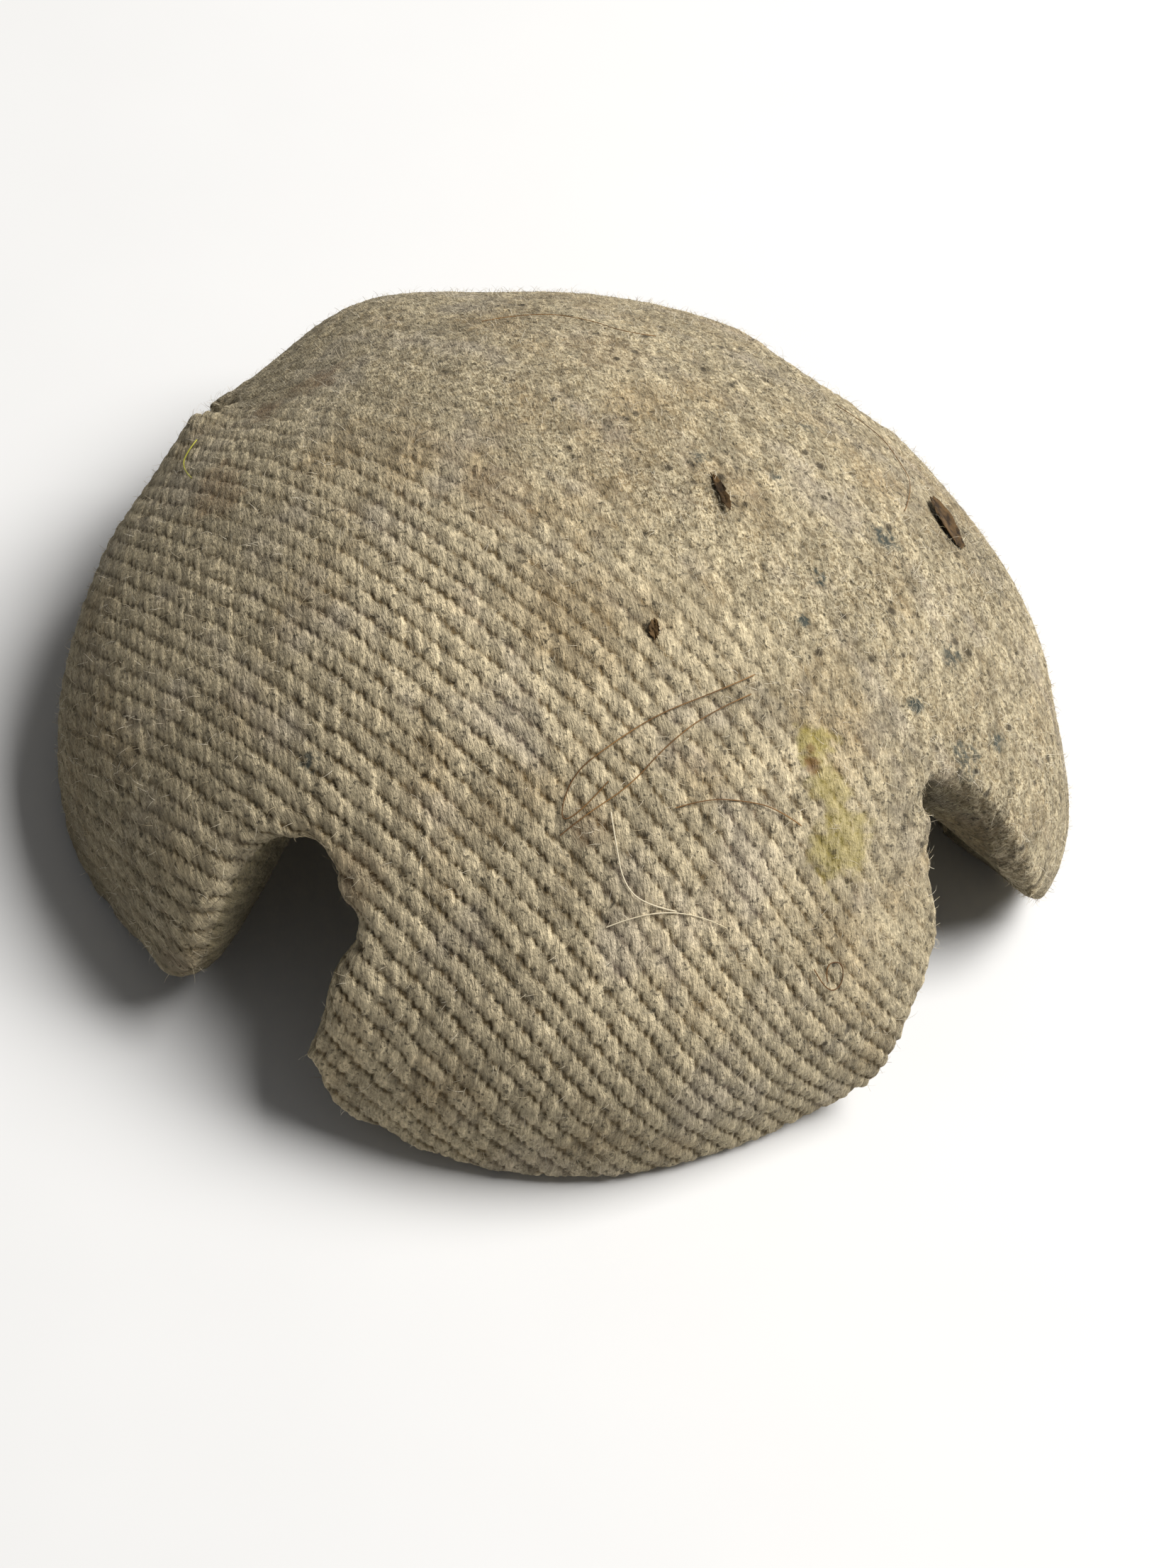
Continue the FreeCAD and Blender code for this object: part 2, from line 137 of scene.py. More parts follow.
def copy_nodes(names, label):
    copies = []
    for name in names:
        copy = bpy.data.objects.new(label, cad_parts[name].data.copy())
        bpy.context.scene.collection.objects.link(copy)
        copies.append(copy)
    deselect_all()
    for copy in copies:
        copy.select_set(True)
    bpy.context.view_layer.objects.active = copies[0]
    bpy.ops.object.join()
    joined = bpy.context.view_layer.objects.active
    joined.data.materials.clear()
    bpy.ops.object.mode_set(mode="EDIT")
    bpy.ops.mesh.select_all(action="SELECT")
    bpy.ops.mesh.remove_doubles(threshold=1e-6)
    bpy.ops.object.mode_set(mode="OBJECT")
    return joined


def read_points(mesh):
    flat = np.empty(len(mesh.vertices) * 3, np.float32)
    mesh.vertices.foreach_get("co", flat)
    return flat.reshape(-1, 3).astype(float) / MM


def read_normals(mesh):
    flat = np.empty(len(mesh.vertices) * 3, np.float32)
    mesh.vertex_normals.foreach_get("vector", flat)
    return flat.reshape(-1, 3).astype(float)


def write_points(mesh, points):
    mesh.vertices.foreach_set("co", (points * MM).astype(np.float32).ravel())
    mesh.update()


def ease(value, low, high):
    """0 below low, 1 above high, and a smooth step between them."""
    share = np.clip((value - low) / (high - low), 0, 1)
    return share * share * (3 - 2 * share)


# %% [markdown]
# ## The soft form
#
# On the real thing, foam and batting push the cover out until it is round everywhere: no
# edge of the pattern stays sharp. All the CAD layers are copied and joined, and a voxel
# remesh wraps one even skin of small squares round them. A few smoothing passes take the
# steps off its edges. The cuts between the panels come later, on this one skin, so that
# neighbours still meet exactly.

# %% One skin round all the layers
VOXEL, SMOOTH_ROUNDS = 1.9, 14
wall_nodes = ["crown_panel", "wadding", "foam_core", "lining"]
wall_nodes += ["notch_facing_" + n for n in NOTCHES] + ["lobe_hem_" + n for n in LOBES]
form = copy_nodes(wall_nodes, "form")
apply_modifier(form, "REMESH", mode="VOXEL", voxel_size=VOXEL * MM, use_smooth_shade=True)
apply_modifier(form, "SMOOTH", factor=0.5, iterations=SMOOTH_ROUNDS)
print("form:", len(form.data.vertices), "points")

# %% [markdown]
# Cloth under pressure swells between the places that hold it, and that is what makes padding
# look padded. The skin starts a little small, Blender's cloth solver inflates it for twenty
# frames with no gravity, and a cap keeps every point near where the pattern puts it. The
# feet stay pinned, because the dome's own weight keeps them flat. With squares this small the
# cloth has to be light and the pressure high, and even so the swelling is slight: most of the
# roundness comes from the smoothing before it and the pushes after it.

# %% Inflate the skin
START_SMALLER, MOST_MOVE = 0.6, 1.5
PRESSURE, FRAMES = 12.0, 20
CLOTH_MASS, STIFFNESS, BENDING = 0.02, 12, 2
FEET_BELOW = 2.5


def inflate(piece, pressure, frames):
    mesh = piece.data
    before = read_points(mesh)
    write_points(mesh, before - read_normals(mesh) * START_SMALLER)
    pins = piece.vertex_groups.new(name="feet")
    for index in np.nonzero(before[:, 2] < FEET_BELOW)[0]:
        pins.add([int(index)], 1.0, "REPLACE")
    activate(piece)
    cloth = piece.modifiers.new("cloth", "CLOTH")
    cloth.settings.quality = 3
    cloth.settings.mass = CLOTH_MASS
    cloth.settings.tension_stiffness = STIFFNESS
    cloth.settings.compression_stiffness = STIFFNESS
    cloth.settings.bending_stiffness = BENDING
    cloth.settings.use_pressure = True
    cloth.settings.uniform_pressure_force = pressure
    cloth.settings.vertex_group_mass = "feet"
    cloth.settings.effector_weights.gravity = 0
    cloth.collision_settings.use_self_collision = False
    cloth.collision_settings.use_collision = False
    cloth.point_cache.frame_end = frames
    for number in range(1, frames + 1):
        bpy.context.scene.frame_set(number)
    bpy.ops.object.modifier_apply(modifier="cloth")
    bpy.context.scene.frame_set(1)
    move = read_points(mesh) - before
    far = np.linalg.norm(move, axis=1, keepdims=True)
    capped = move * (MOST_MOVE / np.maximum(far, MOST_MOVE))
    write_points(mesh, before + capped)
    piece.vertex_groups.clear()
    print("inflated: points moved %.2f mm on average, %.2f at most"
          % (np.linalg.norm(capped, axis=1).mean(), np.linalg.norm(capped, axis=1).max()))


inflate(form, PRESSURE, FRAMES)
apply_modifier(form, "SMOOTH", factor=0.5, iterations=3)

# %% [markdown]
# ## Back to the pattern's size
#
# Remeshing and smoothing make a soft form, and they also shrink it. The outside is set back
# on the dome's own surface by most of what it lost, and the feet go back down to the floor.
# For this each point needs its place on the dome: how far round the arcs it lies, and how
# deep below the outside.

# %% Set the outside back on the dome
def dome_position(points):
    """Angle down the dome, distance along its outside, and depth below the outside."""
    out = np.hypot(points[:, 0], points[:, 1])
    up = points[:, 2]
    crown_angle = np.arctan2(out, up - CROWN_LOW)
    shoulder_angle = np.clip(np.arctan2(out - SHOULDER_OUT, up - SKIRT), MEET, math.pi / 2)
    on_crown = crown_angle < MEET
    on_skirt = ~on_crown & (up < SKIRT)
    angle = np.where(on_crown, crown_angle, np.where(on_skirt, math.pi / 2, shoulder_angle))
    along = np.where(on_crown, CROWN * crown_angle,
                     CROWN * MEET + SHOULDER * (shoulder_angle - MEET))
    along = np.where(on_skirt, CROWN * MEET + SHOULDER * (math.pi / 2 - MEET) + SKIRT - up, along)
    depth = np.where(on_crown, CROWN - np.hypot(out, up - CROWN_LOW),
                     SHOULDER - np.hypot(out - SHOULDER_OUT, up - SKIRT))
    depth = np.where(on_skirt, RING - out, depth)
    return angle, along, depth


def dome_outward(points, angle):
    around = np.arctan2(points[:, 1], points[:, 0])
    return np.stack([np.sin(angle) * np.cos(around), np.sin(angle) * np.sin(around),
                     np.cos(angle)], 1)


SET_BACK = 0.9
OUTWARD_FROM, OUTWARD_FULL = 0.2, 0.85
OUTSIDE_DEPTH, DEPTH_FADE = 6.0, 2.0
FOOT_REACH = 8.0

points, normals = read_points(form.data), read_normals(form.data)
angle, along, depth = dome_position(points)
outward = dome_outward(points, angle)
share = (SET_BACK * ease((normals * outward).sum(1), OUTWARD_FROM, OUTWARD_FULL)
         * ease(OUTSIDE_DEPTH - depth, 0, DEPTH_FADE))
points = points + outward * (depth * share)[:, None]
low = points[:, 2].min()
points[:, 2] -= low * np.clip(1 - points[:, 2] / FOOT_REACH, 0, 1)
write_points(form.data, points)
print("set back: largest radius %.1f, top %.1f, foot was %.2f mm up"
      % (np.hypot(points[:, 0], points[:, 1]).max(), points[:, 2].max(), low))

# %% [markdown]
# ## Pushes
#
# No hand-sewn piece comes out symmetric. One lobe's corner flares, a notch is pinched nearly
# shut, a shoulder bulges. Each of these is a soft push: points near a place move, and the
# move fades out smoothly round it. The pushes run in this order, one on top of the other, so
# a later one trims an earlier one.

# %% Soft pushes
PUSHES = [
    # place, reach and move, all in millimetres
    ((8, -54, 14), 18, (-3.0, 0, 0)),
    ((5, -52, 22), 9, (-1.8, -0.8, 0)),
    ((7, -57, 7), 8, (1.0, 0, 0)),
    ((11, -58, 1), 9, (-4.2, -2.6, 0)),
    ((1, -49, 29), 12, (-1.2, -2.2, -3.8)),
    ((-9, -56, 4), 13, (2.8, 0, 0)),
    ((-10, -56, 0), 8, (1.6, 0.6, 0)),
    ((-16, -55, 0), 9, (0.4, 2.0, 0.6)),
    ((-55, -22, 9), 28, (1.5, 0.5, 0)),
    ((-53, 8, 22), 14, (-0.4, -8.2, 0.2)),
    ((-53, -8, 22), 14, (-0.4, 8.2, 0.2)),
    ((-47, 0, 31), 17, (-5.4, 0, -6.2)),
    ((-50, 0, 27), 12, (-3.0, 0, -4.2)),
    ((-55, 6, 16), 11, (0, -3.5, 0)),
    ((-50, 5, 28), 10, (0, -3.0, 0)),
    ((-50, -5, 28), 10, (0, 3.0, 0)),
    ((-55, -6, 16), 11, (0, 3.5, 0)),
    ((-53, -5, 21), 9, (-0.8, 1.5, 1.5)),
    ((-48, 23, 25), 18, (-1.4, 0.6, 1.4)),
    ((53, -8, 21), 13, (0, 5.2, -0.4)),
    ((49, -5, 28), 11, (0.6, 5.6, -2.4)),
    ((46, 9, 6), 14, (3.6, 5.2, 0)),
    ((50, 12, 1), 9, (1.2, 1.8, 0)),
    ((57, 20, 12), 20, (2.2, 0.8, 0)),
    ((4, -47, 28), 9, (-1.6, -0.6, -1.0)),
    ((8, -56, 19), 7, (1.0, 0, 0)),
    ((10, -58, 9), 8, (-1.4, -0.6, 0)),
    ((58, 11, 8), 10, (-0.2, 0.8, 1.6)),
    ((49, 8, 18), 9, (0.6, 1.6, 0)),
    ((46, -1, 29), 9, (1.4, 2.2, -0.6)),
    ((57, -9, 14), 8, (-0.3, -1.8, 0)),
    ((53, -28, 3), 24, (-1.4, 0.7, 0)),
    ((56, -9, 8), 13, (-0.5, -4.6, 0)),
    ((50, 10, 0), 10, (1.6, 2.2, 3.2)),
    ((20, 50, 24), 30, (-0.3, -1.2, -0.8)),
    ((-24, -54, 4), 14, (0.6, 1.2, 0)),
]


def push(points, place, reach, move):
    near = np.linalg.norm(points - np.array(place, float), axis=1) / reach
    return points + np.outer(ease(1 - near, 0, 1), np.array(move, float))


points = read_points(form.data)
for place_mm, reach, move in PUSHES:
    points = push(points, place_mm, reach, move)
write_points(form.data, points)
print("pushes:", len(PUSHES))

# %% [markdown]
# ## Where a point lies on the cloth
#
# A twill's ribs run straight across the bolt, and on the dome they bend only as far as the
# cloth is pulled. So the weave needs flat coordinates: where each point of the dome lay when
# the crown panel was a flat blank. The distance down the dome from its middle, along the
# outside, is the distance from the middle of the blank. Above the notches the cloth has to
# gather as it goes down, and inside a lobe it is free to hang straight, so there it keeps its
# width. On the sides of a notch the cloth just carries on round the edge.

# %% Flat coordinates of the cover
GATHER_FROM, GATHER_TO = 45.0, 80.0


def flat_coordinates(points, normals):
    angle, along, depth = dome_position(points)
    around = np.arctan2(points[:, 1], points[:, 0])
    middle = (np.floor(around / (math.pi / 2)) + 0.5) * math.pi / 2
    from_middle = around - middle
    out = np.hypot(points[:, 0], points[:, 1]) + depth * np.sin(angle)
    share = ease(along, GATHER_FROM, GATHER_TO)
    spread = from_middle * (1 - share * (1 - out / np.maximum(along, 1)))
    turned = middle + spread
    outward = np.stack([np.cos(around), np.sin(around), 0 * around], 1)
    across = np.stack([-np.sin(around), np.cos(around), 0 * around], 1)
    down = np.cos(angle)[:, None] * outward - np.sin(angle)[:, None] * np.array([0, 0, 1])
    off = np.sin(angle)[:, None] * outward + np.cos(angle)[:, None] * np.array([0, 0, 1])
    facing = (normals * off).sum(1)
    sideways, downward = (normals * across).sum(1), (normals * down).sum(1)
    length = np.clip(np.hypot(sideways, downward), 0.2, None)
    round_edge = (1 - ease(facing, 0.3, 0.9)) * depth / length
    along = along + round_edge * downward
    beside = round_edge * sideways
    return np.stack([along * np.cos(turned) - beside * np.sin(turned),
                     along * np.sin(turned) + beside * np.cos(turned)], 1), depth


# %% [markdown]
# ## Chance that repeats
#
# Yarn is uneven, and so is dirt. Both need numbers that look random and yet come out the
# same every time the script runs. A sine that is scrambled by a large factor gives one such
# number for each yarn and float, and the same trick on a grid, smoothed, gives clouds.

# %% Repeatable unevenness
def scramble(*counts):
    mixed = sum(count * factor for count, factor in zip(counts, (127.1, 269.5, 183.3)))
    return np.mod(np.sin(mixed) * 43758.5453, 1.0)


def clouds(flat, size, seed):
    """Smooth unevenness from 0 to 1, with lumps of about this size in millimetres."""
    grid = flat / size
    corner = np.floor(grid)
    part = grid - corner
    part = part * part * (3 - 2 * part)
    x, y = corner[:, 0], corner[:, 1]
    low = scramble(x, y, seed) * (1 - part[:, 0]) + scramble(x + 1, y, seed) * part[:, 0]
    high = scramble(x, y + 1, seed) * (1 - part[:, 0]) + scramble(x + 1, y + 1, seed) * part[:, 0]
    return low * (1 - part[:, 1]) + high * part[:, 1]


def rough_clouds(flat, size, seed):
    """Clouds with smaller clouds on them."""
    return (clouds(flat, size, seed) * 0.5 + clouds(flat, size / 2.1, seed + 1) * 0.3
            + clouds(flat, size / 4.4, seed + 2) * 0.2)


# %% [markdown]
# ## The twill, yarn by yarn
#
# The cover is a heavy 3/1 twill. Each warp yarn passes over three picks and dives under the
# fourth, and its neighbour does the same one pick further on, which makes the slanted ribs.
# A bump map can't show this: the floats are over a millimetre thick, and they show on the
# outline. So the weave is real relief. For each point, the nearest yarns are asked how high
# their float stands there, and the highest one wins. Every float has its own width, length
# and height, as soft yarn does.

# %% Height of the weave
WARP_SPACING, PICK_SPACING, REPEAT = 0.72, 1.06, 4
FLOAT_WIDTH, FLOAT_LENGTH = 1.80, 3.42  # in yarns and in picks
WARP_TURN = math.radians(-40)
WARP = np.array([math.cos(WARP_TURN), math.sin(WARP_TURN)])
WEFT = np.array([-WARP[1], WARP[0]])


def weave_position(flat):
    drift_x = clouds(flat, 6.5, 11) + clouds(flat, 2.7, 12) - 1
    drift_y = clouds(flat, 6.5, 13) + clouds(flat, 2.7, 14) - 1
    wandering = flat + 0.34 * np.stack([drift_x, drift_y], 1)
    return wandering @ WEFT / WARP_SPACING, wandering @ WARP / PICK_SPACING


def float_height(yarn, across, along):
    """Height of one yarn's float from 0 to 1, and a number that is the float's own."""
    offset = across - yarn + 0.16 * (scramble(yarn, 1) - 0.5)
    bend = 0.06 * np.sin(along * 2.1 + yarn * 1.7)
    count = along + 0.3 * (scramble(yarn, 2) - 0.5) + bend - yarn
    number = np.floor(count / REPEAT)
    own = scramble(yarn, number, 4)
    width = FLOAT_WIDTH + 0.40 * (scramble(yarn, number, 5) - 0.5)
    length = FLOAT_LENGTH + 0.7 * (scramble(yarn, number, 6) - 0.5)
    start = 0.3 * (scramble(yarn, number, 7) - 0.5)
    part = np.clip((count - REPEAT * number - start) / length, 0, 1)
    rise = np.sin(math.pi * part) ** 0.55
    offset = offset + 0.22 * (part - 0.5)
    section = np.clip(1 - (2 * offset / (width * (0.6 + 0.4 * rise))) ** 2, 0, 1) ** 0.5
    return rise * section * (0.66 + 0.5 * own), own


def twill(flat):
    across, along = weave_position(flat)
    nearest = np.round(across)
    height, tone = float_height(nearest, across, along)
    for step in (-1, 1):
        other, own = float_height(nearest + step, across, along)
        tone = np.where(other > height, own, tone)
        height = np.maximum(height, other)
    return height, tone, across * WARP_SPACING, along * PICK_SPACING


def fibres(across, along, seed):
    """Unevenness drawn out along the yarn, as its fibres are."""
    return clouds(np.stack([across / 0.13, along / 0.8], 1), 1.0, seed)

# %% [markdown]
# ## From one skin to panels
#
# Three rounds of subdivision bring the squares down to about a quarter of a millimetre,
# which is fine enough for the weave. The lining needs less, so it is cut away first and gets
# two rounds. Then the skin is cut where the real panels meet: the crown panel goes a little
# way round every edge, facings line the four notches, and hems close the feet.

# %% Cut the lining away
CROWN_WRAP, LINING_FROM, HEM_TOP = 3.0, 11.6, 4.0


def face_centres(mesh):
    flat = np.empty(len(mesh.polygons) * 3, np.float32)
    mesh.polygons.foreach_get("center", flat)
    return flat.reshape(-1, 3).astype(float) / MM


def face_normals(mesh):
    flat = np.empty(len(mesh.polygons) * 3, np.float32)
    mesh.polygons.foreach_get("normal", flat)
    return flat.reshape(-1, 3).astype(float)


def cut_off(piece, faces, label):
    """Separate these faces from the piece, as a new piece."""
    mesh = piece.data
    activate(piece)
    bpy.ops.object.mode_set(mode="EDIT")
    bpy.ops.mesh.select_mode(type="FACE")
    bpy.ops.mesh.select_all(action="DESELECT")
    bpy.ops.object.mode_set(mode="OBJECT")
    mesh.polygons.foreach_set("select", faces.astype(bool))
    bpy.ops.object.mode_set(mode="EDIT")
    bpy.ops.mesh.separate(type="SELECTED")
    bpy.ops.object.mode_set(mode="OBJECT")
    new = [each for each in bpy.context.selected_objects if each != piece][0]
    new.name = label
    new.data.name = label
    return new


centres = face_centres(form.data)
depth = dome_position(centres)[2]
is_lining = (depth > LINING_FROM) & (centres[:, 2] > 1.2)
lining = cut_off(form, is_lining, "hollow_lining")
apply_modifier(form, "SUBSURF", levels=3, render_levels=3)
apply_modifier(lining, "SUBSURF", levels=2, render_levels=2)
print("skin:", len(form.data.vertices), "points; lining:", len(lining.data.vertices))

# %% [markdown]
# ## Raise the weave
#
# The twill is the same cloth over the whole crown and round its edges. It stands lower where
# it has been rubbed: the far side of this one is worn to a felted nap, with no rib left to
# see, and inside the notches it is brushed. All of this is worked out before the skin is cut,
# so the relief runs across the cuts without a step. The heights, the tone of each float and
# the wear stay on the points as attributes, and the materials read them.

# %% Wear and relief
RELIEF = 0.40
NAP_FROM, NAP_TO, NAP_RAGGED, MOST_NAP = -20.0, 13.0, 16.0, 0.94
FLATTENED, BRUSHED = 0.30, 0.75
FUZZ, FILL = 0.16, 0.30


def store(mesh, label, values, kind="FLOAT"):
    attribute = mesh.attributes.new(label, kind, "POINT")
    key = "value" if kind == "FLOAT" else "vector"
    attribute.data.foreach_set(key, np.asarray(values, np.float32).ravel())


def store_uv(mesh, label, across, along):
    loops = np.empty(len(mesh.loops), np.int32)
    mesh.loops.foreach_get("vertex_index", loops)
    layer = mesh.uv_layers.new(name=label)
    layer.uv.foreach_set("vector", np.stack([across, along], 1)[loops].astype(np.float32).ravel())


skin = form.data
points, normals = read_points(skin), read_normals(skin)
flat, depth = flat_coordinates(points, normals)
height, tone, across, along = twill(flat)
uneven = rough_clouds(flat, 16.0, 31)
nap = ease(points[:, 1] + NAP_RAGGED * (uneven - 0.5), NAP_FROM, NAP_TO)
nap = np.clip(nap, 0, MOST_NAP)
inside = ease(depth, 2.0, 6.5)
felt = 0.45 * rough_clouds(flat, 1.7, 41) + 0.55 * ease(clouds(flat, 0.8, 45), 0.20, 0.62)
fibre = fibres(across + 0.25 * along, along, 51) - 0.5
flattened = FLATTENED * ease(-points[:, 0] - 0.25 * points[:, 1], 14.0, 38.0)
worn = np.maximum(nap * (0.74 + 0.6 * (rough_clouds(flat, 5.0, 35) - 0.5)),
                  np.maximum(BRUSHED * inside, flattened))
worn = np.clip(worn, 0, 1)
tufts = rough_clouds(flat, 0.8, 61)
fill = ease(rough_clouds(flat, 1.1, 65), 0.50, 0.80)
height = np.maximum(height, FILL * fill)
relief = height * (1 - worn) + worn * (0.35 + 0.75 * felt)
relief = relief + FUZZ * fibre + FUZZ * (tufts - 0.5)
write_points(skin, points + normals * (RELIEF * (relief - 0.5))[:, None])
store(skin, "relief", relief)
store(skin, "tone", tone)
store(skin, "nap", worn)
store_uv(skin, "yarn", across, along)
print("relief: mean %.2f, worn %.0f %%" % (relief.mean(), 100 * worn.mean()))

# %% [markdown]
# ## Dirt, marks and painted shade
#
# The dome has lain in grass and leaf litter and been carried in a mouth. There is a yellow
# green smear of crushed grass with a rust-brown spot in it, old brown stains towards the back
# left, dark grey-green smudge marks over the worn part, and dark specks. Each mark has a place, a
# reach and a strength, and its edge is broken up by clouds. A painted shade is added as well: the
# colour darkens towards the left, the feet and the notch walls, where the shade falls. The
# strengths go into attributes for the material to colour.

# %% Marks as attributes
GREEN = [((35, -6, 39), 3.2, 0.9), ((39, -8, 37), 3.4, 0.7), ((43, -11, 33), 5.0, 0.7)]
RUST = [((36, -8, 38), 1.3, 0.9), ((35, -7, 39), 0.9, 0.8)]
BROWN = [((-47, -3, 33), 4.6, 0.8), ((-42, 3, 35), 4.0, 0.7), ((-40, -17, 34), 5.5, 0.6),
         ((-9, -7, 48), 6.0, 0.25), ((22, -30, 38), 3.5, 0.3), ((15, -10, 47), 1.2, 0.9),
         ((-14, 22, 44), 6.0, 0.25), ((4, -47, 29), 5.0, 0.3)]
SMUDGES = [((-7, -41, 35), 1.6, 1.0), ((25, 23, 40), 2.6, 1.0), ((24, 10, 44), 1.4, 1.0),
           ((26, 4, 44), 1.2, 1.0), ((39, 18, 35), 2.2, 1.0), ((48, 16, 28), 1.8, 1.0),
           ((47, 10, 30), 2.8, 0.9), ((40, 8, 36), 1.6, 1.0), ((13, 18, 45), 1.6, 0.9),
           ((5, 13, 48), 1.4, 0.8), ((3, -33, 42), 2.0, 0.4), ((10, 30, 42), 1.8, 0.8)]
SPECKS, SPECK_SEED = 130, 7


def marked(points, flat, marks, breaking, seed):
    ragged = rough_clouds(flat, breaking, seed) - 0.5
    total = np.zeros(len(points))
    for place_mm, reach, strength in marks:
        near = np.linalg.norm(points - np.array(place_mm, float), axis=1) / reach
        total = np.maximum(total, strength * ease(1 - near + 1.1 * ragged, 0.0, 0.55))
    return total


green = marked(points, flat, GREEN, 1.6, 71)
rust = marked(points, flat, RUST, 1.2, 72)
brown = marked(points, flat, BROWN, 2.4, 73)
smudged = marked(points, flat, SMUDGES, 0.9, 74)
smudged = smudged * ease(rough_clouds(flat, 0.6, 75), 0.36, 0.52)
chance = np.random.default_rng(SPECK_SEED)
outer_points = np.nonzero((depth < 1.5) & (points[:, 2] > 14))[0]
speck_points = points[chance.choice(outer_points, SPECKS * 2, replace=False)]
speck_points = speck_points[np.argsort(-speck_points[:, 1] - 0.5 * speck_points[:, 0]
                                       + 45 * chance.random(SPECKS * 2))[:SPECKS]]
specks = np.zeros(len(points))
for spot, reach in zip(speck_points, chance.uniform(0.25, 0.75, SPECKS)):
    close = np.nonzero(np.abs(points[:, 0] - spot[0]) < 1)[0]
    near = np.linalg.norm(points[close] - spot, axis=1) / reach
    specks[close] = np.maximum(specks[close], ease(1 - near, 0, 0.5))
store(skin, "marks", np.stack([green, rust, brown], 1), "FLOAT_VECTOR")
# Painted shade: the colour darkens towards the left, down towards the feet and into the notch
# walls, where the lamp's shade falls.
painted_shade = (0.55 * ease(-0.88 * points[:, 0] - 0.47 * points[:, 1], 8.0, 52.0)
         + 0.6 * ease(26 - points[:, 2], 0.0, 20.0) + 0.35 * ease(depth, 1.5, 5.0))
store(skin, "smudges_specks_and_painted_shade", np.stack([smudged, specks, painted_shade], 1), "FLOAT_VECTOR")
print("marks:", len(GREEN + RUST + BROWN + SMUDGES), "and", SPECKS, "specks")

# %% Cut the skin into its panels
def nearest_notch(centres):
    """0 for the front notch, then on round the dome, anticlockwise from above."""
    return np.round(np.arctan2(centres[:, 0], -centres[:, 1]) / (math.pi / 2)).astype(int) % 4


def lobe_number(centres):
    """0 for the front right lobe, then on round the dome."""
    turn = np.arctan2(centres[:, 0], -centres[:, 1])
    return np.floor(turn / (math.pi / 2)).astype(int) % 4


centres = face_centres(skin)
depth = dome_position(centres)[2]
faces_down = face_normals(skin)[:, 2] < -0.6
wrapped = depth > CROWN_WRAP
hem = wrapped & faces_down & (centres[:, 2] < HEM_TOP)
labels = ["crown_cover"] + ["facing_" + n for n in NOTCHES] + ["hem_" + n for n in LOBES]
number = np.zeros(len(centres), np.int32)
number[wrapped & ~hem] = 1 + nearest_notch(centres)[wrapped & ~hem]
number[hem] = 5 + lobe_number(centres)[hem]
skin.materials.clear()
for label in labels:
    skin.materials.append(bpy.data.materials.new(label))
skin.polygons.foreach_set("material_index", number)
activate(form)
bpy.ops.object.mode_set(mode="EDIT")
bpy.ops.mesh.select_all(action="SELECT")
bpy.ops.mesh.separate(type="MATERIAL")
bpy.ops.object.mode_set(mode="OBJECT")
panels = {}
for piece in list(bpy.context.selected_objects):
    label = piece.data.materials[piece.data.polygons[0].material_index].name
    piece.data.polygons.foreach_set("material_index", np.zeros(len(piece.data.polygons), np.int32))
    piece.data.materials.clear()
    piece.name = piece.data.name = label
    panels[label] = piece
for label in labels:
    bpy.data.materials.remove(bpy.data.materials[label])
form = panels["crown_cover"]
panels["lining"] = lining
for label, panel in panels.items():
    panel.data.shade_smooth()
    print(label, len(panel.data.polygons), "faces")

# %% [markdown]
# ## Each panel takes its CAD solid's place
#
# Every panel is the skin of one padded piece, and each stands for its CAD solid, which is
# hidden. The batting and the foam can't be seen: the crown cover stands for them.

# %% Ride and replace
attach(form, "root")
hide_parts("crown_panel", "wadding", "foam_core")
for kind, slot, node in (("facing_", "facing_cloth", "notch_facing_"),
                         ("hem_", "hem_cloth", "lobe_hem_")):
    for place_name in (NOTCHES if kind == "facing_" else LOBES):
        panel = panels[kind + place_name]
        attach(panel, "root")
        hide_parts(node + place_name)
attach(lining, "root")
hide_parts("lining")
